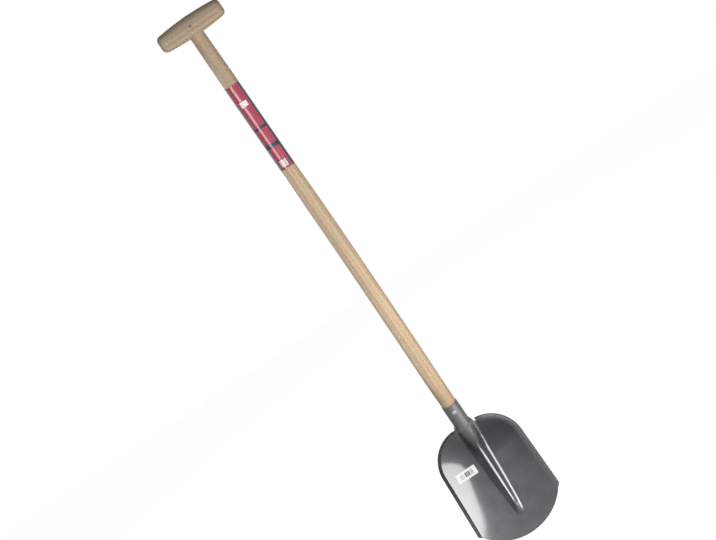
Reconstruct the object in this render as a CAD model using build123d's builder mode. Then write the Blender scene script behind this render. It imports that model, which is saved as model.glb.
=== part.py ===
"""Long handled spade with a T grip: ash shaft and grip, and one pressed steel blade.

The spade hangs upright. Z runs up the shaft, the hollow front of the blade faces -Y, and the
origin is on the shaft's axis at the underside of the grip, where a rack holds it.
All sizes are in millimetres and degrees.
"""

import os
from math import atan, cos, radians, sin, tan

from build123d import *

os.makedirs("parts", exist_ok=True)

# Grip
grip_length = 143.5
grip_height = 42.0
grip_end_height = 33.0
grip_depth = 38.0
grip_edge_radius = 12.0

# Shaft, from the underside of the grip to the mouth of the socket
shaft_reach = 920.0
shaft_diameter = 36.0
shaft_grip_diameter = 33.2
shaft_top_diameter = 30.8
shaft_top_length = 100.0
shaft_swell_length = 80.0
shaft_neck_length = 60.0
tail_bevel_rise = 24.0
tail_bevel_drop = 54.0

# Joint of shaft and grip
tenon_diameter = 19.0
housing_depth = 6.0
wedge_depth = 15.0
wedge_edge = 1.5
wedge_thick_end = 4.0
wedge_thin_end = 1.2
pin_diameter = 5.0
wood_fit = 0.05

# Socket and rib, measured along their common centre line
socket_length = 58.0
socket_radius = 18.2
heel_bend_radius = 80.0
rib_margin = 57.0
rib_tip_radius = 3.5
seam_gap = 1.2
seam_length = 32.0

# Rivet through the socket
rivet_drop = 16.0
rivet_diameter = 6.0
rivet_head_diameter = 10.0
rivet_head_height = 3.0
peened_height = 2.4
washer_diameter = 14.0
washer_thickness = 1.2
metal_fit = 0.05

# Pan of the blade
sheet = 1.6
lift_angle = 18.0
dish_radius = 300.0
dish_opening_angle = 47.0
blade_length = 268.0
blade_top_width = 193.6
blade_mouth_width = 206.4
shoulder_radius = 71.6
mouth_bow = 57.0
mouth_corner_radius = 8.0

# Turned-up rim of the pan
rim_height_heel = 25.0
rim_height_mouth = 19.0
rim_draft = 43.0
rim_bend_radius = 5.0

# Tongue of the sheet that runs into the socket, between two relief notches
tongue_width = 48.4
notch_width = 3.6
notch_depth = 5.0

# Printed film and paper
film_fit = 0.1
label_margin = 18.0
label_top_drop = 117.0
label_length = 195.0
label_thickness = 0.3
tag_inset = 43.0
tag_width = 16.2
tag_length = 12.0
tag_thickness = 0.2
sticker_width = 47.0
sticker_length = 20.0
sticker_inset = 23.5
sticker_drop = 92.6
sticker_thickness = 0.2
sticker_fit = 0.45

# Room by which a cutting shape runs past what it cuts
overrun = 30.0

# Frames of the blade: the pan's floor, its side view, and the edge of its rim
lift = radians(lift_angle)
opening = radians(dish_opening_angle)
draft = radians(rim_draft)
rim_fall = atan((rim_height_heel - rim_height_mouth) / blade_length)
across = Vector(1, 0, 0)
heel = Vector(0, 0, -shaft_reach - socket_length)
heel_rise = dish_radius * (1 - cos(lift))
pan_normal = Vector(0, -cos(lift), sin(lift))
pan = Plane(origin=heel - pan_normal * heel_rise, x_dir=across, z_dir=pan_normal)
side_view = Plane(origin=pan.origin, x_dir=pan.y_dir, z_dir=across)
rim_normal = pan_normal * cos(rim_fall) - pan.y_dir * sin(rim_fall)
rim_origin = pan.origin + pan_normal * rim_height_heel
rim_plane = Plane(origin=rim_origin, x_dir=across, z_dir=rim_normal)
up_the_pan = Axis(pan.origin, pan.y_dir)

# The dish is a ball that runs out into a cone towards the mouth, so it flattens on the way
dish_bottom_y = -dish_radius * sin(lift)
dish_centre = side_view.from_local_coords((dish_bottom_y, dish_radius))
dish_turn = pan_normal * sin(opening) - pan.y_dir * cos(opening)
dish_view = Plane(origin=dish_centre, x_dir=dish_turn, z_dir=-across)

# Places along the pan, from the heel to the mouth
mouth_corner_drop = blade_length - mouth_bow
rib_tip_drop = blade_length - rib_margin

# Heights on the Z axis
grip_underside = 0.0
socket_mouth = grip_underside - shaft_reach
rivet_level = socket_mouth - rivet_drop
pin_level = grip_underside + grip_height / 2
neck_start = socket_mouth + shaft_neck_length
label_top = grip_underside - label_top_drop
label_bottom = label_top - label_length
swell_start = label_bottom - label_margin
tag_centre = label_top - tag_inset

# Centre line of socket and rib: down the shaft, round the heel, then along the floor
with BuildLine(side_view) as centre_line_sketch:
    mouth_point = side_view.to_local_coords(Vector(0, 0, socket_mouth))
    FilletPolyline(
        (mouth_point.X, mouth_point.Y),
        (-heel_rise / tan(lift), 0),
        (-rib_tip_drop, 0),
        radius=heel_bend_radius,
    )
rib_line, heel_bend = centre_line_sketch.edges().sort_by(up_the_pan)[:2]


def half_width(y):
    """Half the width of the blade's outline, before its corners are rounded."""
    flare = blade_mouth_width - blade_top_width
    return (blade_top_width - flare * y / mouth_corner_drop) / 2


def dish_space(growth):
    """The space in front of the dish, with the dish set back by growth."""
    run = 2 * blade_length
    with BuildPart() as space:
        with BuildSketch(dish_view):
            with BuildLine():
                cap = CenterArc((0, 0), dish_radius + growth, 180, dish_opening_angle - 90)
                cone_end = cap @ 1 + Vector(run * cos(opening), run * sin(opening))
                Polyline(cap @ 1, cone_end, (cone_end.X, 0), cap @ 0)
            make_face()
        revolve(axis=Axis(dish_centre, dish_turn))
    return space.part


def rim_space(growth):
    """The space inside the sloping rim, open past the mouth and over the tongue."""
    end = -blade_length - 2 * overrun
    with BuildPart() as space:
        with BuildSketch(rim_plane.offset(rim_bend_radius)) as outline:
            with BuildLine():
                Polyline(
                    (-half_width(0), 0),
                    (half_width(0), 0),
                    (half_width(end), end),
                    (-half_width(end), end),
                    close=True,
                )
            make_face()
            fillet(outline.vertices().sort_by(Axis.Y)[-2:], shoulder_radius)
            offset(amount=(growth - sheet) / cos(draft) + rim_bend_radius * tan(draft))
        extrude(amount=-rim_height_heel - rim_bend_radius - sheet, taper=rim_draft)
        with BuildSketch(pan):
            with Locations((0, -2 * overrun)):
                Rectangle(
                    tongue_width + 2 * notch_width,
                    2.5 * overrun,
                    align=(Align.CENTER, Align.MIN),
                )
        extrude(amount=heel_rise + 2 * socket_radius)
    return space.part


def rib_body(growth):
    """Socket and rib as one solid body, with its radius less growth."""
    radius = socket_radius - growth
    bend_start = heel_bend.vertices().sort_by(up_the_pan)[-1].Z
    rib_start = Vector(rib_line.vertices().sort_by(up_the_pan)[-1])
    rib_tip = rib_start - pan.y_dir * rib_line.length
    with BuildPart() as body:
        with BuildSketch(Plane(origin=(0, 0, bend_start), x_dir=(0, 1, 0))) as section:
            Circle(radius)
        extrude(amount=socket_mouth - bend_start)
        sweep(sections=section.sketch, path=heel_bend)
        with Locations(Plane(origin=rib_start, x_dir=-pan_normal, z_dir=-pan.y_dir)):
            Cone(
                radius,
                rib_tip_radius - growth,
                rib_line.length,
                align=(Align.CENTER, Align.CENTER, Align.MIN),
            )
        with Locations(Plane(origin=rib_tip, x_dir=pan.y_dir, z_dir=pan_normal)):
            Sphere(rib_tip_radius - growth)
    return body.part


def front_space(growth):
    """The space in front of the whole pressing, with its face set back by growth."""
    dish = dish_space(growth)
    rim = rim_space(growth)
    rib = rib_body(growth)
    with BuildPart() as space:
        add(dish)
        add(rim, mode=Mode.INTERSECT)
        creases = [
            edge
            for edge in space.edges(Select.NEW)
            if abs((edge @ 0.5).X) > tongue_width / 2 + notch_width + sheet
            and pan.to_local_coords(edge @ 0.5).Y > -blade_length - overrun
        ]
        fillet(creases, rim_bend_radius + growth)
        add(rib, mode=Mode.SUBTRACT)
    return space.part


def grip_blank():
    """The grip's outer form, before it is bored."""
    half = grip_length / 2
    drop = (grip_height - grip_end_height) / 2
    top = grip_underside + grip_height
    with BuildPart() as blank:
        with BuildSketch(Plane.XZ):
            with BuildLine():
                crown = ThreePointArc((-half, top - drop), (0, top), (half, top - drop))
                belly = ThreePointArc(
                    (-half, grip_underside + drop),
                    (0, grip_underside),
                    (half, grip_underside + drop),
                )
                Line(crown @ 0, belly @ 0)
                Line(crown @ 1, belly @ 1)
            make_face()
        extrude(amount=grip_depth / 2, both=True)
        fillet(blank.edges(), grip_edge_radius)
    return blank.part


def wedge_body(fit):
    """The wedge in the end of the tenon, or its slot with some fit, flush with the grip."""
    top = grip_underside + grip_height
    with BuildPart() as body:
        with BuildSketch(Plane.XZ):
            with BuildLine():
                Polyline(
                    (-wedge_thick_end / 2 - fit, top),
                    (wedge_thick_end / 2 + fit, top),
                    (wedge_thin_end / 2 + fit, top - wedge_depth - fit),
                    (-wedge_thin_end / 2 - fit, top - wedge_depth - fit),
                    close=True,
                )
            make_face()
        extrude(amount=tenon_diameter / 2 - wedge_edge + fit, both=True)
        add(blank, mode=Mode.INTERSECT)
    return body.part


# Shapes that more than one piece is fitted to
blank = grip_blank()
wedge_slot = wedge_body(wood_fit)
rib_outside = rib_body(0)
rib_inside = rib_body(sheet)
pin_plane = Plane.XZ.offset(-grip_depth)
rivet_plane = Plane.XZ.offset(-2 * socket_radius)
pressing_back = front_space(sheet)
pressing_front = front_space(0)
tail_wood = rib_body(sheet + wood_fit)
sticker_back = dish_space(-sticker_fit)
sticker_face = dish_space(-sticker_fit - sticker_thickness)

# Socket: the rolled tube above the heel, with a V at the back that runs up into the seam
with BuildPart() as socket:
    add(rib_outside)
    add(rib_inside, mode=Mode.SUBTRACT)
    split(bisect_by=Plane(origin=pan.origin, z_dir=pan.y_dir), keep=Keep.TOP)
    with BuildSketch(Plane.XZ):
        with BuildLine():
            Polyline(
                (0, heel.Z + seam_length),
                (socket_radius, heel.Z),
                (socket_radius, heel.Z - overrun),
                (-socket_radius, heel.Z - overrun),
                (-socket_radius, heel.Z),
                close=True,
            )
        make_face()
        with Locations((0, socket_mouth)):
            Rectangle(seam_gap, 2 * (socket_length - seam_length) + seam_gap)
    extrude(amount=-2 * socket_radius, mode=Mode.SUBTRACT)

# Blade: the pressed sheet, its outline, the rolled socket and the cuts at the back
with BuildPart() as blade:
    add(pressing_back)
    add(pressing_front, mode=Mode.SUBTRACT)
    with BuildSketch(pan) as outline:
        with BuildLine():
            corner = half_width(-mouth_corner_drop)
            mouth = ThreePointArc(
                (-corner, -mouth_corner_drop),
                (0, -blade_length),
                (corner, -mouth_corner_drop),
            )
            Polyline(mouth @ 1, (half_width(0), 0), (-half_width(0), 0), mouth @ 0)
        make_face()
        fillet(outline.vertices().sort_by(Axis.Y)[-2:], shoulder_radius)
        fillet(outline.vertices().sort_by(Axis.Y)[:2], mouth_corner_radius)
    extrude(amount=2 * overrun, both=True, mode=Mode.INTERSECT)
    with BuildSketch(pan):
        with GridLocations(tongue_width + notch_width, 0, 2, 1):
            Rectangle(notch_width, 2 * notch_depth)
    extrude(amount=2 * overrun, both=True, mode=Mode.SUBTRACT)
    add(socket.part)
    with BuildSketch(rivet_plane):
        with Locations((0, rivet_level)):
            Circle(rivet_diameter / 2 + metal_fit)
    extrude(amount=4 * socket_radius, mode=Mode.SUBTRACT)
blade.part.label = "blade"
export_step(blade.part, "parts/blade.step")

# Shaft: the tenon is dressed to the grip, and the tail fills the socket down to its bevel
with BuildPart() as shaft:
    with Locations((0, 0, grip_underside)):
        Cylinder(tenon_diameter / 2, grip_height, align=(Align.CENTER, Align.CENTER, Align.MIN))
    add(blank, mode=Mode.INTERSECT)
    add(wedge_slot, mode=Mode.SUBTRACT)
    with BuildSketch(Plane.XZ):
        with BuildLine():
            Polyline(
                (0, grip_underside + housing_depth),
                (shaft_top_diameter / 2, grip_underside + housing_depth),
                (shaft_top_diameter / 2, grip_underside),
                (shaft_grip_diameter / 2, grip_underside - shaft_top_length),
                (shaft_grip_diameter / 2, swell_start),
                (shaft_diameter / 2, swell_start - shaft_swell_length),
                (shaft_diameter / 2, neck_start),
                (socket_radius - sheet - wood_fit, socket_mouth),
                (0, socket_mouth),
                close=True,
            )
        make_face()
    revolve(axis=Axis.Z)
    add(tail_wood)
    with BuildSketch(Plane.YZ):
        with BuildLine():
            Polyline(
                (socket_radius, heel.Z + tail_bevel_rise),
                (-socket_radius, heel.Z - tail_bevel_drop),
                (-blade_length, heel.Z - tail_bevel_drop),
                (-blade_length, heel.Z - 2 * blade_length),
                (socket_radius, heel.Z - 2 * blade_length),
                close=True,
            )
        make_face()
    extrude(amount=2 * socket_radius, both=True, mode=Mode.SUBTRACT)
    with BuildSketch(pin_plane):
        with Locations((0, pin_level)):
            Circle(pin_diameter / 2 + wood_fit)
    extrude(amount=2 * grip_depth, mode=Mode.SUBTRACT)
    with BuildSketch(rivet_plane):
        with Locations((0, rivet_level)):
            Circle(rivet_diameter / 2 + metal_fit)
    extrude(amount=4 * socket_radius, mode=Mode.SUBTRACT)
shaft.part.label = "shaft"
export_step(shaft.part, "parts/shaft.step")

# Grip: bored through for the tenon, with a housing for the end of the shaft
with BuildPart() as grip:
    add(blank)
    with BuildSketch(Plane.XY.offset(grip_underside)):
        Circle(tenon_diameter / 2 + wood_fit)
    extrude(amount=grip_height, mode=Mode.SUBTRACT)
    with BuildSketch(Plane.XY.offset(grip_underside)):
        Circle(shaft_top_diameter / 2 + wood_fit)
    extrude(amount=housing_depth, mode=Mode.SUBTRACT)
    with BuildSketch(pin_plane):
        with Locations((0, pin_level)):
            Circle(pin_diameter / 2 + wood_fit)
    extrude(amount=2 * grip_depth, mode=Mode.SUBTRACT)
grip.part.label = "grip"
export_step(grip.part, "parts/grip.step")

# Wedge in the end of the tenon
wedge_form = wedge_body(0)
with BuildPart() as grip_wedge:
    add(wedge_form)
grip_wedge.part.label = "grip_wedge"
export_step(grip_wedge.part, "parts/grip_wedge.step")

# Pin through grip and tenon, dressed flush at both ends
with BuildPart() as grip_pin:
    with BuildSketch(pin_plane):
        with Locations((0, pin_level)):
            Circle(pin_diameter / 2)
    extrude(amount=2 * grip_depth)
    add(blank, mode=Mode.INTERSECT)
grip_pin.part.label = "grip_pin"
export_step(grip_pin.part, "parts/grip_pin.step")

# Washer: curved to the back of the socket, across its seam
washer_seat = socket_radius + metal_fit
with BuildPart() as rivet_washer:
    with BuildSketch(Plane.XY.offset(rivet_level)):
        Circle(washer_seat + washer_thickness)
        Circle(washer_seat, mode=Mode.SUBTRACT)
    extrude(amount=washer_diameter, both=True)
    with BuildSketch(Plane.XZ):
        with Locations((0, rivet_level)):
            Circle(washer_diameter / 2)
            Circle(rivet_diameter / 2 + metal_fit, mode=Mode.SUBTRACT)
    extrude(amount=-2 * socket_radius, mode=Mode.INTERSECT)
rivet_washer.part.label = "rivet_washer"
export_step(rivet_washer.part, "parts/rivet_washer.step")

# Rivet: a domed head on the front of the socket, and the peened end on the washer
head_reach = rivet_head_diameter / 2
dome_radius = (head_reach**2 + rivet_head_height**2) / (2 * rivet_head_height)
dome_centre = washer_seat + rivet_head_height - dome_radius
peened_seat = washer_seat + washer_thickness + metal_fit
with BuildPart() as peened_end:
    with BuildSketch(Plane.XZ):
        with Locations((0, rivet_level)):
            Circle(head_reach)
    extrude(amount=-peened_seat - peened_height)
    chamfer(peened_end.edges().sort_by(Axis.Y)[-1], peened_height / 2)
    with BuildSketch(Plane.XY.offset(rivet_level)):
        Circle(peened_seat)
    extrude(amount=washer_diameter, both=True, mode=Mode.SUBTRACT)
with BuildPart() as socket_rivet:
    with Locations((0, -dome_centre, rivet_level)):
        Sphere(dome_radius)
    with BuildSketch(Plane.XZ):
        with Locations((0, rivet_level)):
            Circle(head_reach)
    extrude(amount=2 * socket_radius, mode=Mode.INTERSECT)
    with BuildSketch(Plane.XY.offset(rivet_level)):
        Circle(washer_seat)
    extrude(amount=washer_diameter, both=True, mode=Mode.SUBTRACT)
    add(peened_end.part)
    with BuildSketch(Plane.XZ.offset(socket_radius)):
        with Locations((0, rivet_level)):
            Circle(rivet_diameter / 2)
    extrude(amount=-socket_radius - peened_seat)
socket_rivet.part.label = "socket_rivet"
export_step(socket_rivet.part, "parts/socket_rivet.step")

# Printed film sleeve
film_radius = shaft_grip_diameter / 2 + film_fit
with BuildPart() as handle_label:
    with BuildSketch(Plane.XY.offset(label_top)):
        Circle(film_radius + label_thickness)
        Circle(film_radius, mode=Mode.SUBTRACT)
    extrude(amount=-label_length)
handle_label.part.label = "handle_label"
export_step(handle_label.part, "parts/handle_label.step")

# Small tag over the front of the sleeve
tag_radius = film_radius + label_thickness + film_fit
with BuildPart() as price_tag:
    with BuildSketch(Plane.XY.offset(tag_centre)):
        Circle(tag_radius + tag_thickness)
        Circle(tag_radius, mode=Mode.SUBTRACT)
        with Locations((0, -tag_radius)):
            Rectangle(tag_width, tag_radius, mode=Mode.INTERSECT)
    extrude(amount=tag_length / 2, both=True)
price_tag.part.label = "price_tag"
export_step(price_tag.part, "parts/price_tag.step")

# Paper sticker on the left half of the dish
sticker_side = half_width(-sticker_drop) - sticker_inset - sticker_width / 2
with BuildPart() as blade_sticker:
    add(sticker_back)
    add(sticker_face, mode=Mode.SUBTRACT)
    with BuildSketch(pan):
        with Locations((-sticker_side, -sticker_drop)):
            Rectangle(sticker_width, sticker_length)
    extrude(amount=overrun, mode=Mode.INTERSECT)
blade_sticker.part.label = "blade_sticker"
export_step(blade_sticker.part, "parts/blade_sticker.step")
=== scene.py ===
# %% [markdown]
# # A long handled spade with a T grip
#
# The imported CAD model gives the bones: where each piece sits and how large it is.
# This lesson dresses it piece by piece, with wood grain, lacquer, printed film and paper,
# and sets up a small studio with the camera of the photograph.
# The spade hangs upright with its shaft on the Z axis. Blender counts in metres, so the lengths
# of the pieces, which are written in millimetres, are multiplied by MM.

# %% Frame and tools
from math import atan2, cos, pi, radians, sin, tan

import bpy
import numpy as np
from mathutils import Matrix, Quaternion, Vector


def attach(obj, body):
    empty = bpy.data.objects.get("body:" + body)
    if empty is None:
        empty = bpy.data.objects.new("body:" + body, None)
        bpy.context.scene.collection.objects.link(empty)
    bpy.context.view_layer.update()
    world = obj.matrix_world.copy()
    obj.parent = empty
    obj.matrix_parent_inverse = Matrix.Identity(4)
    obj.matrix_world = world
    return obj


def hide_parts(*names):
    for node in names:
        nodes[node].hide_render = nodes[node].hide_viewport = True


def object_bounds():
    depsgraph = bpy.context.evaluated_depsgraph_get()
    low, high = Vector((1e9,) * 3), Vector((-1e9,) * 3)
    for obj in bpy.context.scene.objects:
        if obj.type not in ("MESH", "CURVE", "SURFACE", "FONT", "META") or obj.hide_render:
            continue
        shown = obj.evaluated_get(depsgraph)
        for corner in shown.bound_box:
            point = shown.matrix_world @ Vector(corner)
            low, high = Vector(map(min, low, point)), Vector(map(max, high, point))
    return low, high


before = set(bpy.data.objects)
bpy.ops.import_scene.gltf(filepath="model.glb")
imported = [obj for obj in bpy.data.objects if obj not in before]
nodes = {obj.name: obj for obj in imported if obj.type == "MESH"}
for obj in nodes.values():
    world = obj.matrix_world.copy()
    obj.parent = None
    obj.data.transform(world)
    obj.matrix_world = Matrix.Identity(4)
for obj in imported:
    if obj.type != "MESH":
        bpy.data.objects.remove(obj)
cad_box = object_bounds()
MM = 0.001
print("nodes", sorted(nodes))
print("box", [round(x, 4) for corner in cad_box for x in corner])

# %% [markdown]
# ## Small helpers for working by hand
#
# Blender's operators act on whatever is selected, and the imported nodes start out selected.
# So each piece begins with nothing selected, and ends as one object at the origin, with its
# place in its mesh, which keeps patterns on Object coordinates where they belong.


# %% Starting and finishing a piece
def start_clean():
    """Leaves edit mode and selects nothing."""
    if bpy.context.object and bpy.context.object.mode != "OBJECT":
        bpy.ops.object.mode_set(mode="OBJECT")
    bpy.ops.object.select_all(action="DESELECT")


def edit(on):
    """Steps into or out of edit mode."""
    bpy.ops.object.mode_set(mode="EDIT" if on else "OBJECT")


def apply_modifier(piece, kind, **settings):
    """Adds a modifier, sets it and applies it."""
    modifier = piece.modifiers.new(kind.title(), kind)
    for name, value in settings.items():
        setattr(modifier, name, value)
    bpy.context.view_layer.objects.active = piece
    bpy.ops.object.modifier_apply(modifier=modifier.name)


def finish_piece(name, replaced, material, smooth=35):
    """Names the piece in hand, shades it and lets it stand for its CAD nodes."""
    piece = bpy.context.object
    bpy.ops.object.transform_apply(location=True, rotation=True, scale=True)
    bpy.ops.object.shade_smooth_by_angle(angle=radians(smooth))
    piece.name = piece.data.name = name
    piece.data.materials.clear()
    piece.data.materials.append(material)
    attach(piece, "root")
    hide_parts(*replaced)
    print(name, len(piece.data.vertices), "vertices,", len(piece.data.polygons), "faces")


# %% [markdown]
# ## Shader maths as plain sums
#
# A finish is a small sum of noises, stripes and masks. A wrapper round a socket lets those
# sums be written as they are on paper, and one method adds any other node.


# %% A socket that can do sums
class Wire:
    """One output socket of a material, with the arithmetic that Math nodes do."""

    def __init__(self, tree, socket):
        self.tree, self.socket = tree, socket

    def make(self, kind, settings, inputs, output=0):
        """A new node: its settings first, then the values or links of its sockets."""
        node = self.tree.nodes.new(kind)
        for name, value in settings.items():
            setattr(node, name, value)
        for key, value in inputs.items():
            if isinstance(value, Wire):
                self.tree.links.new(value.socket, node.inputs[key])
            else:
                node.inputs[key].default_value = value
        return Wire(self.tree, node.outputs[output])

    def other(self, output):
        """Another output of the same node."""
        return Wire(self.tree, self.socket.node.outputs[output])

    def split(self):
        """The X, Y and Z of these coordinates."""
        x = self.make("ShaderNodeSeparateXYZ", {}, {0: self})
        return x, x.other(1), x.other(2)

    def math(self, operation, *values):
        """A Math node with these values in its sockets."""
        return self.make("ShaderNodeMath", {"operation": operation}, dict(enumerate(values)))

    def __add__(self, other):
        return self.math("ADD", self, other)

    def __sub__(self, other):
        return self.math("SUBTRACT", self, other)

    def __rsub__(self, other):
        return self.math("SUBTRACT", other, self)

    def __mul__(self, other):
        return self.math("MULTIPLY", self, other)

    def __truediv__(self, other):
        return self.math("DIVIDE", self, other)

    def __gt__(self, other):
        return self.math("GREATER_THAN", self, other)

    __radd__ = __add__

    def absolute(self):
        return self.math("ABSOLUTE", self)

    def larger(self, other):
        """The larger of this and another value."""
        return self.math("MAXIMUM", self, other)

    def fade(self, low, high, start=0.0, end=1.0):
        """A soft step: start below low, end above high."""
        sockets = {"Value": self, "From Min": low, "From Max": high, "To Min": start, "To Max": end}
        return self.make("ShaderNodeMapRange", {"interpolation_type": "SMOOTHSTEP"}, sockets)

    def band(self, low, high, soft):
        """1 between low and high, with edges of that softness."""
        return self.fade(low - soft, low + soft) * (1 - self.fade(high - soft, high + soft))

    def stretched(self, scale, turn=(0, 0, 0)):
        """These coordinates, turned and stretched."""
        sockets = {"Vector": self, "Scale": scale, "Rotation": turn}
        return self.make("ShaderNodeMapping", {}, sockets)

    def noise(self, scale, detail=2.0, rough=0.5, distortion=0.0):
        """Soft noise at these coordinates."""
        sockets = {"Vector": self, "Scale": scale, "Detail": detail, "Roughness": rough}
        return self.make("ShaderNodeTexNoise", {}, {**sockets, "Distortion": distortion})

    def mixed(self, low, high):
        """The colour low where this is 0 and high where it is 1."""
        low, high = ((*c, 1) if isinstance(c, tuple) else c for c in (low, high))
        return self.make("ShaderNodeMix", {"data_type": "RGBA"}, {0: self, 6: low, 7: high}, 2)

    def bump(self, strength, distance):
        """The normal that this height gives a surface."""
        sockets = {"Strength": strength, "Distance": distance, "Height": self}
        return self.make("ShaderNodeBump", {}, sockets)


def new_finish(name):
    """A new material: its shader node, its Object coordinates, and X, Y and Z."""
    finish = bpy.data.materials.new(name)
    finish.use_nodes = True
    tree = finish.node_tree
    shader = tree.nodes["Principled BSDF"]
    place = Wire(tree, tree.nodes.new("ShaderNodeTexCoord").outputs["Object"])
    return finish, shader, place, *place.split()


def connect(shader, **wires):
    """Feeds the shader's sockets: wires are linked and plain values are set."""
    for name, value in wires.items():
        socket = shader.inputs[name.replace("_", " ")]
        if isinstance(value, Wire):
            value.tree.links.new(value.socket, socket)
        else:
            socket.default_value = value


print("Wire ready")

# %% [markdown]
# ## Camera
#
# The photograph looks at the spade from a little above and a little to its right, with the
# tool leaning across the frame. The spade hangs upright here, so the camera is rolled instead.
# Its lens and distance come from how the grip looks larger than the blade in the picture.

# %% Camera of the photograph
LEAN = radians(34.35)
VIEW_UP, VIEW_RIGHT = radians(12.0), radians(3.7)
VIEW_DISTANCE, FOCAL_PIXELS, PICTURE_WIDTH = 2.30, 1116.0, 716.0
SENSOR_WIDTH = 36.0
aim = Vector((0.0008, 0, -0.5688))
back = Vector((sin(VIEW_RIGHT) * cos(VIEW_UP), -cos(VIEW_RIGHT) * cos(VIEW_UP), sin(VIEW_UP)))
level_right = Vector((0, 0, 1)).cross(back).normalized()
level_up = back.cross(level_right)
right = level_right * cos(LEAN) - level_up * sin(LEAN)
up = level_right * sin(LEAN) + level_up * cos(LEAN)
bpy.ops.object.camera_add()
camera = bpy.context.object
turned = Matrix((right, up, back)).transposed().to_4x4()
camera.matrix_world = Matrix.Translation(aim + back * VIEW_DISTANCE) @ turned
camera.data.sensor_width = SENSOR_WIDTH
camera.data.lens = SENSOR_WIDTH * FOCAL_PIXELS / PICTURE_WIDTH
bpy.context.scene.camera = camera
bpy.context.scene.view_settings.view_transform = "Standard"
print("camera at", [round(x, 3) for x in camera.location], "lens", round(camera.data.lens, 1))

# %% [markdown]
# ## Studio
#
# A pale floor lies under the hanging spade. The world is white to the camera, as the
# photograph's ground is, while it lights the object only softly, a little more from the left
# and from below. Gloss sees a bright room behind the object and to its left, and a greyer one
# elsewhere. Four lamps shape the picture: a broad one in front, a rolled, elliptical soft box
# low on the right that draws the bright window on the left half of the blade, one on the left
# that draws the line of light on the label, and a soft one behind for the views of the rear.
# A lamp's radiance is what a mirror shows of it, so that is given and not its power.

# %% Floor, world and lamps
start_clean()
FLOOR_LEVEL, FLOOR_SIZE = cad_box[0].z - 0.45, 9
bpy.ops.mesh.primitive_plane_add(size=FLOOR_SIZE, location=(0, 0, FLOOR_LEVEL))
floor = bpy.context.object
floor.name = "floor"
floor_paint, shader, place, x, y, z = new_finish("floor_paint")
speckle = place.noise(40.0, 4.0)
connect(shader, Base_Color=speckle.mixed((0.93, 0.93, 0.93), (0.95, 0.95, 0.95)), Roughness=0.9)
paint = Wire(place.tree, shader.outputs[0])
seen = place.make("ShaderNodeLightPath", {}, {}, "Is Camera Ray")
lift = place.make("ShaderNodeEmission", {}, {"Color": (1, 1, 1, 1), "Strength": 1.12})
mix = place.make("ShaderNodeMixShader", {}, {0: seen * 0.85, 1: paint, 2: lift})
place.tree.links.new(mix.socket, place.tree.nodes["Material Output"].inputs["Surface"])
floor.data.materials.append(floor_paint)

world = bpy.data.worlds.new("studio_air")
world.use_nodes = True
bpy.context.scene.world = world
tree = world.node_tree
background = tree.nodes["Background"]
direction = Wire(tree, tree.nodes.new("ShaderNodeTexCoord").outputs["Generated"])
sideways, depth, height = direction.split()
path = direction.make("ShaderNodeLightPath", {}, {}, "Is Camera Ray")
mirrored = path.other("Is Glossy Ray").larger(path.other("Is Transmission Ray"))
ROOM_TONE, ROOM_BRIGHT = 0.32, 0.8
AIR_BELOW, AIR_ABOVE, AIR_LEFT = 0.34, 0.14, 0.55
room = (depth * 0.9 - sideways * 0.25).fade(0.24, 0.60, ROOM_TONE, ROOM_BRIGHT)
air = height.fade(0.0, 0.8, AIR_BELOW, AIR_ABOVE) * (1 - sideways * AIR_LEFT)
strength = air + mirrored * (room - air)
tree.links.new((strength + path * (1 - strength)).socket, background.inputs["Strength"])
background.inputs["Color"].default_value = (1, 1, 1, 1)


def add_lamp(name, place, target, width, height, radiance, shape="RECTANGLE", roll=0.0):
    """A flat lamp that faces the target, with its radiance and not its power given."""
    data = bpy.data.lights.new(name, "AREA")
    data.shape, data.size, data.size_y = shape, width, height
    area = width * height * (pi / 4 if shape == "ELLIPSE" else 1)
    data.energy = radiance * pi * area
    lamp = bpy.data.objects.new(name, data)
    bpy.context.scene.collection.objects.link(lamp)
    lamp.location = place
    lamp.rotation_mode = "QUATERNION"
    turn = (Vector(target) - Vector(place)).to_track_quat("-Z", "Y")
    lamp.rotation_quaternion = turn @ Quaternion((0, 0, 1), radians(roll))
    print(name, round(data.energy, 1), "W")


add_lamp("front_lamp", (-0.5, -3.2, 0.75), (0, 0, -0.5), 1.6, 1.6, 5.5)
add_lamp(
    "window_lamp", (0.936, -1.2, -0.977), (-0.052, -0.103, -0.887), 1.53, 0.70, 12.7,
    shape="ELLIPSE", roll=-14.0,
)
add_lamp("strip_lamp", (-0.80, -1.83, -0.32), (0, 0, -0.2), 1.0, 0.6, 5.5)
add_lamp("rear_lamp", (-1.6, 2.4, 0.6), (0, 0, -0.5), 1.6, 1.6, 3.0)

# %% [markdown]
# ## Ash wood
#
# Ash has long pale fibres, rows of short dark pores, and broad streaks where a growth ring
# comes to the surface. Two stretched noises and a set of warped rings give these. The same
# recipe serves the shaft, with fibres along Z, and the greyer grip, with fibres along X, whose
# top is darker as painted shade. The shaft's left side is painted paler as painted light from
# the left, and just above the socket it is a little darker.

# %% Recipe for ash
LEFT_LIGHT_TONE = (0.50, 0.385, 0.265)
RINGS_PER_METRE, RING_WANDER = 700.0, 0.012
GRIP_END_GRAIN, GRIP_TOP_SHADE = (0.060, 0.075), (0.013, 0.032)
SHAFT_HANDLED, SHAFT_NECK = (-0.40, 0.0), (-0.85, -0.905)


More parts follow.
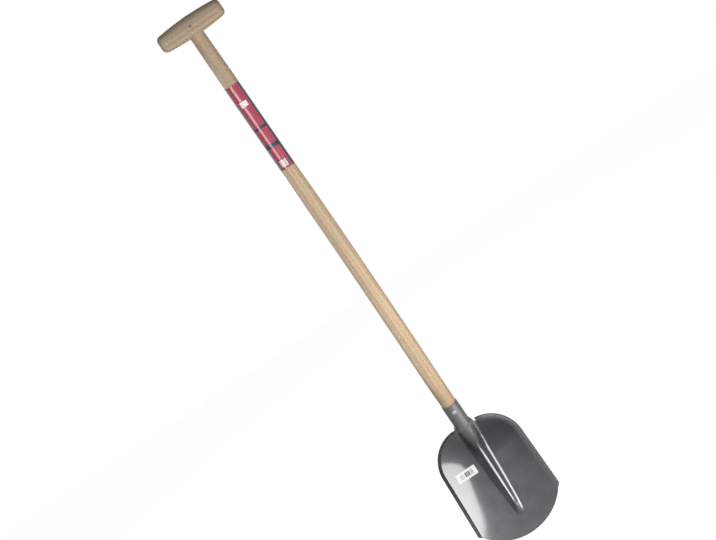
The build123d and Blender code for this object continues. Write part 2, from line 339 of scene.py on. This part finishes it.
def ash(name, along, pale, brown, tint):
    """Wood with fibres along Z for the shaft, or along X and with end grain for the grip."""
    finish, shader, place, x, y, z = new_finish(name)
    turn = (0, 0, 0) if along == "z" else (0, radians(90), 0)
    fibre_place = place.stretched((1, 1, 1), turn)
    streak = fibre_place.stretched((1, 1, 0.03)).noise(70.0, 4.0, 0.55, 0.5)
    fibre = fibre_place.stretched((1, 1, 0.018)).noise(900.0, 3.0, 0.6)
    pores = fibre_place.stretched((1, 1, 0.05)).noise(1500.0, 2.0, 0.5).fade(0.60, 0.70)
    drift = place.noise(3.5, 2.0)
    wander = fibre_place.stretched((1, 1, 0.05)).noise(14.0, 2.0)
    across = fibre_place.split()[0] + wander * RING_WANDER
    phase = across * RINGS_PER_METRE + drift * 6.0
    ring = phase.math("SINE", phase) * 0.5 + 0.5
    tone = streak * 0.66 + ring * 0.16 + fibre * 0.10
    colour = tone.fade(0.22, 0.74).mixed(brown, pale)
    colour = (drift.fade(0.35, 0.7) * 0.55).mixed(colour, tint)
    colour = (pores * 0.14).mixed(colour, tuple(c * 0.45 for c in brown))
    if along == "x":
        ends = x.absolute().fade(*GRIP_END_GRAIN)
        colour = (ends * 0.5).mixed(colour, tuple(c * 0.55 for c in brown))
        # Painted shade: the top of the grip is darkened towards the tint.
        colour = (z.fade(*GRIP_TOP_SHADE) * 0.75).mixed(colour, tint)
    else:
        colour = (z.fade(*SHAFT_HANDLED) * 0.75).mixed(colour, tint)
        # Painted light: the left side of the shaft is made paler, standing in for light from the
        # left.
        left_light = x.fade(-0.003, -0.012) * z.band(-0.86, -0.06, 0.05)
        colour = (left_light * 0.75).mixed(colour, LEFT_LIGHT_TONE)
        colour = (z.fade(*SHAFT_NECK) * 0.8).mixed(colour, brown)
    relief = fibre * 0.6 + streak * 0.4 - pores * 0.8
    rough = 0.50 + fibre * 0.14 + pores * 0.1
    connect(shader, Base_Color=colour, Roughness=rough, Normal=relief.bump(0.10, 0.0006))
    connect(shader, Specular_IOR_Level=0.35)
    print(name, len(place.tree.nodes), "nodes")
    return finish


shaft_wood = ash(
    "shaft_wood", "z",
    pale=(0.42, 0.315, 0.20), brown=(0.275, 0.195, 0.114), tint=(0.262, 0.192, 0.131),
)
grip_wood = ash(
    "grip_wood", "x",
    pale=(0.36, 0.26, 0.175), brown=(0.22, 0.155, 0.10), tint=(0.165, 0.13, 0.093),
)

# %% [markdown]
# ## Shaft
#
# The shaft was turned on a lathe, so each cross section is a circle: it is thinner at the
# grip, swells below the label and necks where it enters the socket. Extruding one disc down
# the axis and scaling it at each station is the plain way to model that. The tail inside the
# socket is cut on the slant, as the opening at the back of the socket shows. Long ash shafts
# bow as they dry, and this one does so by a little over two millimetres. The film and the tag
# bow with it.

# %% Turned shaft
start_clean()
TENON_TOP, TENON_RADIUS, TENON_CHAMFER = 41.95, 9.5, 0.5
STATIONS = [
    (TENON_TOP - TENON_CHAMFER, TENON_RADIUS), (6.0, TENON_RADIUS), (5.8, 15.0), (5.2, 15.3),
    (0.0, 15.3), (-50, 15.75), (-100, 16.18), (-180, 16.19), (-260, 16.2), (-330, 16.2),
    (-352, 16.35), (-388, 16.9), (-410, 17.1), (-470, 17.15), (-530, 17.2), (-600, 17.25),
    (-670, 17.28), (-740, 17.31), (-800, 17.33), (-860, 17.35), (-880, 17.2), (-905, 16.8),
    (-920, 16.5), (-1035, 16.5),
]
TAIL_BACK, TAIL_FRONT = Vector((0, 18.2, -954)), Vector((0, -18.2, -1032))
BOW, BOW_TOP, BOW_LENGTH, BOW_SKEW = 2.4, -30.0, 870.0, 1.4


def bow(level):
    """How far the shaft has bowed to the right at a level, in millimetres."""
    part = min(max((BOW_TOP - level) / BOW_LENGTH, 0.0), 1.0)
    return BOW * sin(pi * part**BOW_SKEW)


level, radius = TENON_TOP, TENON_RADIUS - TENON_CHAMFER
bpy.ops.mesh.primitive_circle_add(
    vertices=72, radius=radius * MM, fill_type="NGON", location=(0, 0, level * MM)
)
edit(True)
for next_level, next_radius in STATIONS:
    drop = (0, 0, (next_level - level) * MM)
    bpy.ops.mesh.extrude_region_move(TRANSFORM_OT_translate={"value": drop})
    ratio = next_radius / radius
    bpy.ops.transform.resize(value=(ratio, ratio, 1), center_override=(0, 0, next_level * MM))
    level, radius = next_level, next_radius
bpy.ops.mesh.select_all(action="SELECT")
slant = (TAIL_FRONT - TAIL_BACK).cross(Vector((1, 0, 0)))
slant = slant if slant.z > 0 else -slant
bpy.ops.mesh.bisect(plane_co=TAIL_BACK * MM, plane_no=slant, use_fill=True, clear_inner=True)
bpy.ops.mesh.select_all(action="SELECT")
bpy.ops.mesh.normals_make_consistent(inside=False)
edit(False)
for vertex in bpy.context.object.data.vertices:
    vertex.co.x += bow(vertex.co.z / MM) * MM
finish_piece("turned_shaft", ["shaft"], shaft_wood)

# %% [markdown]
# ## Grip
#
# The crosspiece is a barrel: full in the middle, lower at its two ends, and rounded along
# every edge. It starts as a block. One bevel rounds the long edges and a smaller one the two
# ends, then it is cut into slices, and each slice is scaled to its own height. The front is a
# hair behind the pin, and the crown a hair below tenon and wedge, so these show as they do on
# the real grip.

# %% Barrel grip
start_clean()
GRIP_LENGTH, GRIP_DEPTH, GRIP_HEIGHT, GRIP_END_HEIGHT = 143.5, 37.9, 41.9, 33.0
LONG_ROUND, END_ROUND, SLICES = 14.0, 9.0, 13
bpy.ops.mesh.primitive_cube_add(size=1, location=(0, 0, GRIP_HEIGHT / 2 * MM))
grip_block = bpy.context.object
grip_block.scale = (GRIP_LENGTH * MM, GRIP_DEPTH * MM, GRIP_HEIGHT * MM)
bpy.ops.object.transform_apply(location=True, rotation=True, scale=True)


def select_edges(piece, wanted):
    """Selects the edges whose two ends pass a test, and steps into edit mode."""
    edit(True)
    bpy.ops.mesh.select_mode(type="EDGE")
    bpy.ops.mesh.select_all(action="DESELECT")
    edit(False)
    for edge in piece.data.edges:
        edge.select = wanted(*(piece.data.vertices[i].co for i in edge.vertices))
    edit(True)


end = GRIP_LENGTH / 2 * MM
select_edges(grip_block, lambda a, b: abs(a.x - b.x) > end)
bpy.ops.mesh.bevel(offset=LONG_ROUND * MM, segments=10, affect="EDGES")
select_edges(grip_block, lambda a, b: abs(a.x + b.x) > 1.99 * end)
bpy.ops.mesh.bevel(offset=END_ROUND * MM, segments=7, affect="EDGES")
select_edges(grip_block, lambda a, b: abs(a.x - b.x) > end)
bpy.ops.mesh.subdivide(number_cuts=SLICES)
edit(False)
middle = GRIP_HEIGHT / 2 * MM
loss = 1 - GRIP_END_HEIGHT / GRIP_HEIGHT
for vertex in grip_block.data.vertices:
    vertex.co.z = middle + (vertex.co.z - middle) * (1 - loss * (vertex.co.x / end) ** 2)
bpy.context.view_layer.objects.active = grip_block
grip_block.select_set(True)
finish_piece("barrel_grip", ["grip"], grip_wood, smooth=60)

# %% [markdown]
# ## Lacquered steel
#
# The pressing was dipped in dark grey lacquer with a little metal in it, under a clear and
# glossy skin. Fine mottling and a slight orange peel show where light grazes it. The gloss is
# the coat, which is stronger towards the mouth, and the metal below it spreads the light of
# the soft box. The colour grows lighter towards the mouth as painted reflection. The inside of
# the right rim is painted paler as painted reflection, the outside of the rim is matt, and the
# socket is paler, partly from being handled and partly as painted reflection. An attribute on
# the mesh tells how far a place is from the edge of the blade, and the normal tells the two
# sides of the rim apart.

# %% Recipe for lacquer
HEEL_LACQUER_TONES = (0.014, 0.0145, 0.0165), (0.032, 0.0325, 0.036)
MOUTH_SHEEN_TONES = (0.038, 0.0385, 0.041), (0.084, 0.0845, 0.088)
RIM_SHEEN_GREY, RIM_HIGHLIGHT_GREY = (0.10, 0.10, 0.105), (0.45, 0.45, 0.455)


def lacquer(name, handled_sheen_grey):
    """Dark grey lacquer, and the paler grey that it is mixed with on the socket, partly where it
    was handled and partly as painted reflection.
    """
    finish, shader, place, x, y, z = new_finish(name)
    mottle = place.noise(420.0, 4.0, 0.65)
    cloud = place.noise(28.0, 3.0, 0.5)
    fleck = place.noise(2600.0, 2.0, 0.6)
    tone = mottle * 0.45 + cloud * 0.35 + fleck * 0.2
    heel_tone = tone.fade(0.3, 0.72).mixed(*HEEL_LACQUER_TONES)
    mouth_sheen_tone = tone.fade(0.3, 0.72).mixed(*MOUTH_SHEEN_TONES)
    # Painted reflection: the colour grows lighter towards the mouth, standing in for the bright
    # room seen in the lower pan.
    colour = z.fade(-1.0, -1.27).mixed(heel_tone, mouth_sheen_tone)
    socket_wear_and_sheen = z.fade(-1.03, -0.96) * x.absolute().fade(0.030, 0.019)
    edge_gap = place.make("ShaderNodeAttribute", {"attribute_name": "edge_gap"}, {}, "Fac")
    facing = place.make("ShaderNodeNewGeometry", {}, {}, "Normal").split()[0]
    # Painted reflection: the inside of the right rim, facing left, is painted paler, and light grey
    # close to the edge.
    right_rim_sheen = x.fade(0.02, 0.06) * facing.fade(0.05, -0.15) * (0.7 + mottle * 0.5)
    colour = (edge_gap.fade(14.0, 5.0) * right_rim_sheen).mixed(colour, RIM_SHEEN_GREY)
    colour = (edge_gap.fade(5.5, 4.0) * right_rim_sheen).mixed(colour, RIM_HIGHLIGHT_GREY)
    # Painted reflection and wear: the socket front is mixed towards a paler grey, which stands in
    # partly for the floor's reflection.
    colour = (socket_wear_and_sheen * (0.5 + mottle * 0.3)).mixed(colour, handled_sheen_grey)
    peel = place.noise(330.0, 2.0, 0.5) * 0.7 + fleck * 0.12
    outer = edge_gap.fade(11.0, 7.0) * (facing * x.math("SIGN", x)).fade(0.1, 0.35)
    rough = 0.30 + mottle * 0.14 + socket_wear_and_sheen * 0.10 + outer * 0.35
    connect(shader, Base_Color=colour, Roughness=rough, Normal=peel.bump(0.10, 0.0004))
    connect(shader, Metallic=0.5 - outer * 0.45)
    coat = (z.fade(-1.03, -1.14, 0.80, 1.02) - cloud * 0.1 - socket_wear_and_sheen * 0.4) * (1 - outer * 0.95)
    connect(shader, Coat_Weight=coat, Coat_Roughness=0.10, Coat_IOR=1.55)
    print(name, len(place.tree.nodes), "nodes")
    return finish


blade_lacquer = lacquer("blade_lacquer", (0.15, 0.15, 0.148))
# The rivet's pale grey is a painted highlight on its head.
rivet_lacquer = lacquer("rivet_lacquer", (0.42, 0.42, 0.42))

# %% [markdown]
# ## The form of the press
#
# The whole blade is one sheet. Its floor is part of a ball near the heel that runs out into a
# cone towards the mouth, its rim turns up along both sides, and a rib runs down from the
# socket and sinks into the floor. Towards the mouth the sides of the floor curl up a little
# more. That is a height over a plane, so the press is written as one function of the place on
# the pan, in millimetres: x across, y up towards the grip.

# %% Heights of the pressing
LIFT, DISH_RADIUS, OPENING = radians(18.0), 300.0, tan(radians(47.0))
HEEL_RISE = DISH_RADIUS * (1 - cos(LIFT))
DISH_BOTTOM = -DISH_RADIUS * sin(LIFT)
CONE_TIP = DISH_BOTTOM + DISH_RADIUS / OPENING
PAN_UP = np.array((0.0, sin(LIFT), cos(LIFT)))
PAN_FRONT = np.array((0.0, -cos(LIFT), sin(LIFT)))
HEEL_LEVEL = -978.0
PAN_ORIGIN = np.array((0.0, 0.0, HEEL_LEVEL)) - PAN_FRONT * HEEL_RISE
MOUTH_CORNER, MOUTH_TIP, CORNER_ROUND, MOUTH_WEAR = 211.0, 268.0, 8.0, 0.036
TOP_HALF, FLARE, SHOULDER = 95.8, 6.4 / MOUTH_CORNER, 75.0
FLARE_LENGTH = (1 + FLARE**2) ** 0.5
SHOULDER_X = TOP_HALF + FLARE * SHOULDER - SHOULDER * FLARE_LENGTH
TONGUE, NOTCH, NOTCH_DEPTH = 24.2, 3.6, 5.0
CURL, CURL_START, CURL_RUN, CURL_INSIDE, CURL_SOFT = 0.012, 135.0, 85.0, 35.0, 25.0
RIM_SLOPE, RIM_TOP, RIM_FALL, RIM_INSET, RIM_BEND = tan(radians(20.0)), 25.0, 6.0, 1.70, 2.5
RIB_Y = [-225, -220, -213, -206, -190, -168, -147, -124, -101, -80, -63, -46, -24, 0, 60]
RIB_WIDTH = [9.0, 9.8, 10.8, 11.6, 12.8, 14.6, 16.2, 17.8, 19.0, 20.0, 20.8, 23.5, 25.4, 26.0, 26.0]
RIB_HEIGHT = [0.0, 1.2, 3.3, 4.8, 6.9, 8.8, 10.1, 11.3, 12.3, 13.2, 14.2, 15.5, 18.1, 19.1, 19.1]
ROOT_RADIUS, ROOT_SHARE = 9.0, 0.6
ROLL_START, ROLL_RUN = -62.0, 42.0


def ease(value, start, run):
    """A soft step from 0 to 1, which begins at start and takes that run."""
    part = np.clip((value - start) / run, 0, 1)
    return part**2 * (3 - 2 * part)


def dish(x, y):
    """Height of the pan's floor: a ball near the heel and a cone towards the mouth."""
    ball = DISH_RADIUS - np.sqrt(DISH_RADIUS**2 - x**2 - (y - DISH_BOTTOM) ** 2)
    run, spread = (CONE_TIP - y) * OPENING, OPENING**2 - 1
    cone = (np.sqrt(run**2 + spread * x**2) - run) / spread
    out = np.clip(np.abs(x) - CURL_INSIDE, 0, None)
    curl = CURL * ease(-y, CURL_START, CURL_RUN) * out**2 / (out + CURL_SOFT)
    return np.where(y - DISH_BOTTOM > ball * OPENING, ball, cone) + curl


def inset(x, y):
    """Distance inwards from the sides and shoulders of the outline."""
    a, b = np.abs(x) - SHOULDER_X, y + SHOULDER
    side = (TOP_HALF - FLARE * y - np.abs(x)) / FLARE_LENGTH
    shoulder = np.where(a > 0, SHOULDER - np.hypot(a, b), -y)
    return np.where(a * FLARE - b > 0, side, shoulder)


def soft_max(a, b, room):
    """The larger of two heights, with a soft change over."""
    overlap = np.clip(room - np.abs(a - b), 0, None)
    return np.maximum(a, b) + overlap**2 / (4 * room)


def rib(x, y):
    """Height of the rib over the floor: round at the heel, a soft ridge further down."""
    half = np.interp(y, RIB_Y, RIB_WIDTH)
    crown = np.interp(y, RIB_Y, RIB_HEIGHT)
    far = np.minimum(np.abs(x), half)
    ridge = crown * (1 - far / half) ** 2 * (1 + 2 * far / half)
    reach = (half**2 + crown**2) / (2 * np.clip(crown, 0.01, None))
    bend = reach - np.minimum(ROOT_RADIUS, ROOT_SHARE * reach)
    top = crown - bend + np.sqrt(np.clip(bend**2 - far**2, 0, None))
    hollow = reach - bend - np.sqrt(np.clip((reach - bend) ** 2 - (half - far) ** 2, 0, None))
    tube = np.where(far < half * bend / reach, top, hollow)
    return ridge + (tube - ridge) * ease(y, ROLL_START, ROLL_RUN)


def front_height(x, y):
    """Height of the front of the sheet over the pan's plane."""
    floor_height = dish(x, y)
    rim_edge = RIM_TOP + RIM_FALL * y / MOUTH_TIP
    wall = rim_edge + (RIM_INSET - inset(x, y)) / RIM_SLOPE
    rise = soft_max(floor_height, wall, RIM_BEND) - floor_height
    return floor_height + rib(x, y) + rise * ease(np.abs(x), TONGUE, NOTCH)


def pan_point(x, y, height):
    """Places on the pan as points of the frame, still in millimetres."""
    x, y, height = np.broadcast_arrays(x, y, height)
    flat = np.stack((x, np.zeros_like(x), np.zeros_like(x)), -1)
    return PAN_ORIGIN + flat + y[..., None] * PAN_UP + height[..., None] * PAN_FRONT


print("floor at the middle", float(dish(np.array(0.0), np.array(-150.0))))

# %% [markdown]
# ## Blank and pressing
#
# A real blade starts as a flat blank, and so does this one: a grid with more lines where the
# form is tight. Its rows run from the mouth of the socket to the mouth of the blade. Above the
# heel only the middle columns are kept, and they are rolled round the shaft. At the heel the
# roll and the pan are blended, which gives the soft flare that a pressing has there. A relief
# notch is cut on the right of the heel, and on the left it has closed. The mouth is worn a
# little askew, lower on the left than on the right.

# %% Lines of the blank
SOCKET_RADIUS, SOCKET_LENGTH, SEAM_LENGTH = 18.2, 58.0, 32.0
HALF_ROLL, FULL_ROLL = radians(90), radians(178.1)
FLARE_START, FLARE_RUN = 16.0, 26.0
SHEET, FAR_FROM_EDGE = 1.6, 99.0
corner_half = TOP_HALF + FLARE * MOUTH_CORNER
mouth_drop = MOUTH_TIP - MOUTH_CORNER
mouth_radius = (corner_half**2 + mouth_drop**2) / (2 * mouth_drop)
inner = np.concatenate((np.linspace(0, 8, 17), np.linspace(9, TONGUE, 17)))
notch_lines = TONGUE + NOTCH * np.array((1, 2, 3)) / 3
notch_end = TONGUE + NOTCH
outer = notch_end + (TOP_HALF - TONGUE - NOTCH) * np.sin(np.linspace(0, pi / 2, 63)[1:])
half_lines = np.concatenate((inner, notch_lines, outer))
columns = np.concatenate((-half_lines[:0:-1], half_lines))
tube_rows = np.linspace(SOCKET_LENGTH * cos(LIFT), 0, 38)[:-1]
pan_rows = np.linspace(0, 1, 171)
print(len(columns), "columns,", len(tube_rows) + len(pan_rows), "rows")


# %% Outline of the blank
def top_edge(x):
    """The top of the pan: straight over the tongue, round at the shoulders."""
    over = np.clip(np.abs(x) - SHOULDER_X, 0, SHOULDER)
    return np.sqrt(SHOULDER**2 - over**2) - SHOULDER


def mouth_edge(x):
    """The bowed mouth, with small round corners."""
    centre = mouth_radius - MOUTH_TIP
    arc = centre - np.sqrt(mouth_radius**2 - np.clip(np.abs(x), 0, corner_half) ** 2)
    round_x = corner_half - CORNER_ROUND
    reach = mouth_radius - CORNER_ROUND
    round_y = centre - np.sqrt(reach**2 - round_x**2)
    start = round_x * mouth_radius / reach
    over = np.clip(np.abs(x) - round_x, 0, CORNER_ROUND)
    corner = round_y - np.sqrt(CORNER_ROUND**2 - over**2)
    return np.where(np.abs(x) > start, corner, arc)


widen = np.clip((np.abs(columns) - TONGUE - NOTCH) / (TOP_HALF - TONGUE - NOTCH), 0, 1)
wide = columns + np.sign(columns) * widen * (corner_half - TOP_HALF)
mouth_line = mouth_edge(wide) + MOUTH_WEAR * wide
top_line = np.zeros_like(columns)
for _ in range(400):
    top_line = top_edge(np.abs(columns) - widen * FLARE * top_line)
pan_y = top_line + (mouth_line - top_line) * pan_rows[:, None]
pan_x = columns - np.sign(columns) * widen * FLARE * pan_y
pan_grid = pan_point(pan_x, pan_y, front_height(pan_x, pan_y))

# %% Roll of the socket
station = np.concatenate((tube_rows, pan_y[:, len(columns) // 2]))[:, None]
level = HEEL_LEVEL + station / cos(LIFT)
closing = np.clip((level - HEEL_LEVEL) / SEAM_LENGTH, 0, 1)
wrap = HALF_ROLL + (FULL_ROLL - HALF_ROLL) * closing
angle = wrap * np.clip(columns / TONGUE, -1, 1)
tube_x, tube_y = SOCKET_RADIUS * np.sin(angle), -SOCKET_RADIUS * np.cos(angle)
tube = np.stack((tube_x, tube_y, np.broadcast_to(level, angle.shape)), -1)
above = np.broadcast_to(tube_rows[:, None], (len(tube_rows), len(columns)))
pan_above = pan_point(columns, above, front_height(np.clip(columns, -TONGUE, TONGUE), above))
pan_all = np.concatenate((pan_above, pan_grid))
share = ease(-station, -FLARE_START, FLARE_RUN)
share = np.where(np.abs(columns) > TONGUE + 0.01, 1.0, share)[..., None]
sheet_grid = tube * (1 - share) + pan_all * share
print("sheet from", sheet_grid.min((0, 1)).round(1), "to", sheet_grid.max((0, 1)).round(1))

# %% Pressing the blank
start_clean()
row_count, column_count = sheet_grid.shape[:2]
bpy.ops.mesh.primitive_grid_add(
    x_subdivisions=column_count - 1, y_subdivisions=row_count - 1, size=2
)
blank = bpy.context.object
flat = np.array([v.co for v in blank.data.vertices])
column_of = np.rint((flat[:, 0] + 1) / 2 * (column_count - 1)).astype(int)
row_of = np.rint((1 - flat[:, 1]) / 2 * (row_count - 1)).astype(int)
blank.data.vertices.foreach_set("co", (sheet_grid[row_of, column_of] * MM).ravel())
tube_gaps = np.full((len(tube_rows), column_count), FAR_FROM_EDGE)
gaps = np.concatenate((tube_gaps, inset(pan_x, pan_y)))
edge_gap = blank.data.attributes.new("edge_gap", "FLOAT", "POINT")
edge_gap.data.foreach_set("value", gaps[row_of, column_of].astype(np.float32))
edit(True)
bpy.ops.mesh.select_mode(type="FACE")
bpy.ops.mesh.select_all(action="DESELECT")
edit(False)
for face in blank.data.polygons:
    corners = list(face.vertices)
    across, down = columns[column_of[corners]].mean(), row_of[corners].mean()
    depth_here = pan_y[int(max(down - len(tube_rows), 0)), column_count // 2]
    waste = abs(across) > TONGUE and down < len(tube_rows)
    relief = TONGUE < across < TONGUE + NOTCH and depth_here > -NOTCH_DEPTH
    face.select = bool(waste or relief)
edit(True)
bpy.ops.mesh.delete(type="FACE")
bpy.ops.mesh.select_all(action="SELECT")
bpy.ops.mesh.remove_doubles(threshold=0.00002)
bpy.ops.mesh.normals_make_consistent(inside=False)
edit(False)
front_facing = np.mean([f.normal.y for f in blank.data.polygons])
print("mean normal along Y", round(float(front_facing), 2))
if front_facing > 0:
    edit(True)
    bpy.ops.mesh.flip_normals()
    edit(False)
apply_modifier(blank, "SOLIDIFY", thickness=SHEET * MM, offset=-1.0, use_even_offset=False)
blank.select_set(True)
finish_piece("blade_pressing", ["blade"], blade_lacquer, smooth=40)

# %% [markdown]
# ## Sticker on the blade
#
# A paper sticker lies on the left half of the pan and takes its curve. It is a small grid laid
# on the same press function, a hair in front of the lacquer. Its print is only a row of plain
# bars of uneven width, made from a one dimensional white noise.

# %% Paper finish
PAPER, TAG_PAPER, INK = (0.47, 0.47, 0.46), (0.55, 0.48, 0.48), (0.05, 0.05, 0.055)
PAPER_SHEET = 0.2


def paper(name, tone):
    """Pulpy paper, with its colour handed back so that print can be laid over it."""
    finish, shader, place, x, y, z = new_finish(name)
    pulp = place.noise(900.0, 4.0, 0.6)
    colour = pulp.mixed(tuple(c * 0.94 for c in tone), tone)
    connect(shader, Roughness=0.45 + pulp * 0.15, Normal=pulp.bump(0.08, 0.0002))
    return finish, shader, colour, x, y, z


# %% Sticker with bars
sticker_paper, shader, colour, x, y, z = paper("sticker_paper", PAPER)
STICKER_X, STICKER_Y, STICKER_GAP = (-76.1, -29.1), (-102.6, -82.6), 0.15
BAR_MODULE, BAR_DRAW, BAR_SHARE = 0.8 * MM, 0.37, 0.52
BARS_ACROSS, BARS_UP, BARS_SOFT = (-0.0690, -0.0365), (-1.0280, -1.0174), 0.0001
module = x / BAR_MODULE
step = module.math("FLOOR", module) + BAR_DRAW
draw = step.make("ShaderNodeTexWhiteNoise", {"noise_dimensions": "1D"}, {"W": step}, "Value")
up_the_pan = y * sin(LIFT) + z * cos(LIFT)
field = x.band(*BARS_ACROSS, BARS_SOFT) * up_the_pan.band(*BARS_UP, BARS_SOFT)
bars = (draw > BAR_SHARE) * field
connect(shader, Base_Color=bars.mixed(colour, INK))

start_clean()
bpy.ops.mesh.primitive_grid_add(x_subdivisions=30, y_subdivisions=14, size=2)
sticker = bpy.context.object
flat = np.array([v.co for v in sticker.data.vertices])
stick_x = np.interp(flat[:, 0], (-1, 1), STICKER_X)
stick_y = np.interp(flat[:, 1], (-1, 1), STICKER_Y)
sticker_points = pan_point(stick_x, stick_y, front_height(stick_x, stick_y) + STICKER_GAP)
sticker.data.vertices.foreach_set("co", (sticker_points * MM).ravel())
sticker.data.update()
apply_modifier(sticker, "SOLIDIFY", thickness=PAPER_SHEET * MM, offset=1.0)
finish_piece("blade_sticker_paper", ["blade_sticker"], sticker_paper)

# %% [markdown]
# ## Printed film round the shaft
#
# A glossy film is wrapped round the upper shaft, with its overlap at the back. It is red in
# front and dark blue at the sides, with two plain blue hoops and an empty pale panel. The
# print follows the height and the angle round the shaft, both worked out from Object
# coordinates, so it stays where it is from every side.

# %% Printed film
film_print, shader, place, x, y, z = new_finish("film_print")
RED, NAVY, CREAM = (0.25, 0.028, 0.054), (0.022, 0.026, 0.045), (0.42, 0.32, 0.33)
SOFT_DEGREES, SOFT_LEVEL = 0.8, 0.0003
turn = x.math("ARCTAN2", x, 0 - y) * (180 / pi)
side = turn.absolute()
grain = place.noise(260.0, 3.0)
red = grain.mixed(RED, tuple(c * 1.12 for c in RED))
navy_sides = side.fade(50.0, 53.0)
hoops = z.band(-0.2185, -0.2135, SOFT_LEVEL).larger(z.band(-0.2625, -0.2535, SOFT_LEVEL))
# A pale band on both sides, 43 to 45.5 degrees from the front, mixed in at half strength.
pale_side_band = side.band(43.0, 45.5, SOFT_DEGREES)
colour = (pale_side_band * 0.5).mixed(red, CREAM)
colour = navy_sides.larger(hoops).mixed(colour, NAVY)
panel_edge = turn.band(-34.0, 34.0, SOFT_DEGREES) * z.band(-0.3090, -0.2900, SOFT_LEVEL)
panel = turn.band(-28.0, 28.0, SOFT_DEGREES) * z.band(-0.3072, -0.2918, SOFT_LEVEL)
colour = panel.mixed(panel_edge.mixed(colour, NAVY), CREAM)
wave = place.stretched((1, 1, 0.3)).noise(60.0, 2.0)
connect(shader, Base_Color=colour, Roughness=0.22 + grain * 0.08, Normal=wave.bump(0.06, 0.0006))
connect(shader, Coat_Weight=0.9, Coat_Roughness=0.13)
print("film_print", len(place.tree.nodes), "nodes")

# %% Film sleeve
start_clean()
LABEL_TOP, LABEL_LENGTH, FILM_RADIUS, FILM_SHEET = -117.0, 195.0, 16.32, 0.28
LAP_HEIGHT, LAP_ANGLE = 0.25, radians(16)
bpy.ops.mesh.primitive_cylinder_add(
    vertices=120, radius=FILM_RADIUS * MM, depth=LABEL_LENGTH * MM, end_fill_type="NOTHING",
    location=(0, 0, (LABEL_TOP - LABEL_LENGTH / 2) * MM),
)
sleeve = bpy.context.object
bpy.ops.object.transform_apply(location=True, rotation=True, scale=True)
edit(True)
bpy.ops.mesh.select_all(action="SELECT")
bpy.ops.mesh.subdivide_edgering(number_cuts=24)
edit(False)
for vertex in sleeve.data.vertices:
    around = atan2(vertex.co.x, vertex.co.y)
    lap = LAP_HEIGHT * max(0.0, 1 - around / LAP_ANGLE) if 0 <= around else 0.0
    swell = 1 + lap / FILM_RADIUS
    vertex.co.x = vertex.co.x * swell + bow(vertex.co.z / MM) * MM
    vertex.co.y = vertex.co.y * swell
apply_modifier(sleeve, "SOLIDIFY", thickness=FILM_SHEET * MM, offset=1.0)
sleeve.select_set(True)
finish_piece("label_sleeve", ["handle_label"], film_print)

# %% [markdown]
# ## Tag on the film
#
# A small blank tag is stuck over the front of the film. It is a flat grid that is rolled to
# the film's curve and given the thickness of paper.

# %% Blank tag
tag_paper, shader, colour, x, y, z = paper("tag_paper", TAG_PAPER)
connect(shader, Base_Color=colour)
start_clean()
bpy.ops.mesh.primitive_grid_add(x_subdivisions=20, y_subdivisions=10, size=2)
tag = bpy.context.object
TAG_RADIUS, TAG_LEVEL, TAG_WIDTH, TAG_LENGTH = 16.72, -160.0, 16.2, 12.0
for vertex in tag.data.vertices:
    around = vertex.co.x * TAG_WIDTH / 2 / TAG_RADIUS
    level = TAG_LEVEL + vertex.co.y * TAG_LENGTH / 2
    tag_x, tag_y = TAG_RADIUS * sin(around) + bow(level), -TAG_RADIUS * cos(around)
    vertex.co = Vector((tag_x, tag_y, level)) * MM
apply_modifier(tag, "SOLIDIFY", thickness=PAPER_SHEET * MM, offset=1.0)
finish_piece("label_tag", ["price_tag"], tag_paper)

# %% [markdown]
# ## Small metal and the wedge
#
# Rivet, washer, pin and wedge already have the right shape as CAD nodes, so they stay and
# only get their finish: the rivet was lacquered with the blade, the pin is dark steel, and the
# wedge is a browner wood than the grip.

# %% Finishes on CAD nodes
pin_steel, shader, place, x, y, z = new_finish("pin_steel")
scratch = place.stretched((1, 1, 0.08)).noise(3000.0, 3.0)
stain = place.noise(500.0, 3.0)
colour = stain.mixed((0.045, 0.038, 0.032), (0.09, 0.08, 0.07))
connect(shader, Base_Color=colour, Roughness=0.4 + scratch * 0.2, Normal=scratch.bump(0.2, 0.0002))
connect(shader, Metallic=0.85)
wedge_wood = ash(
    "wedge_wood", "z", pale=(0.30, 0.20, 0.12), brown=(0.16, 0.10, 0.06), tint=(0.22, 0.15, 0.09)
)
for node_name, finish in (
    ("socket_rivet", rivet_lacquer), ("rivet_washer", rivet_lacquer),
    ("grip_pin", pin_steel), ("grip_wedge", wedge_wood),
):
    node = nodes[node_name]
    if not node.material_slots:
        node.data.materials.append(finish)
    for material_slot in node.material_slots:
        material_slot.material = finish
    print(node_name, "gets", finish.name)

# %% [markdown]
# ## Box of the CAD model
#
# The box of the CAD model is printed once more at the end. The dressed spade has to stay
# close to the box of the CAD model.

# %% Box of the CAD model
start_clean()
bpy.context.view_layer.update()
print("cad", [round(v, 4) for c in cad_box for v in c])
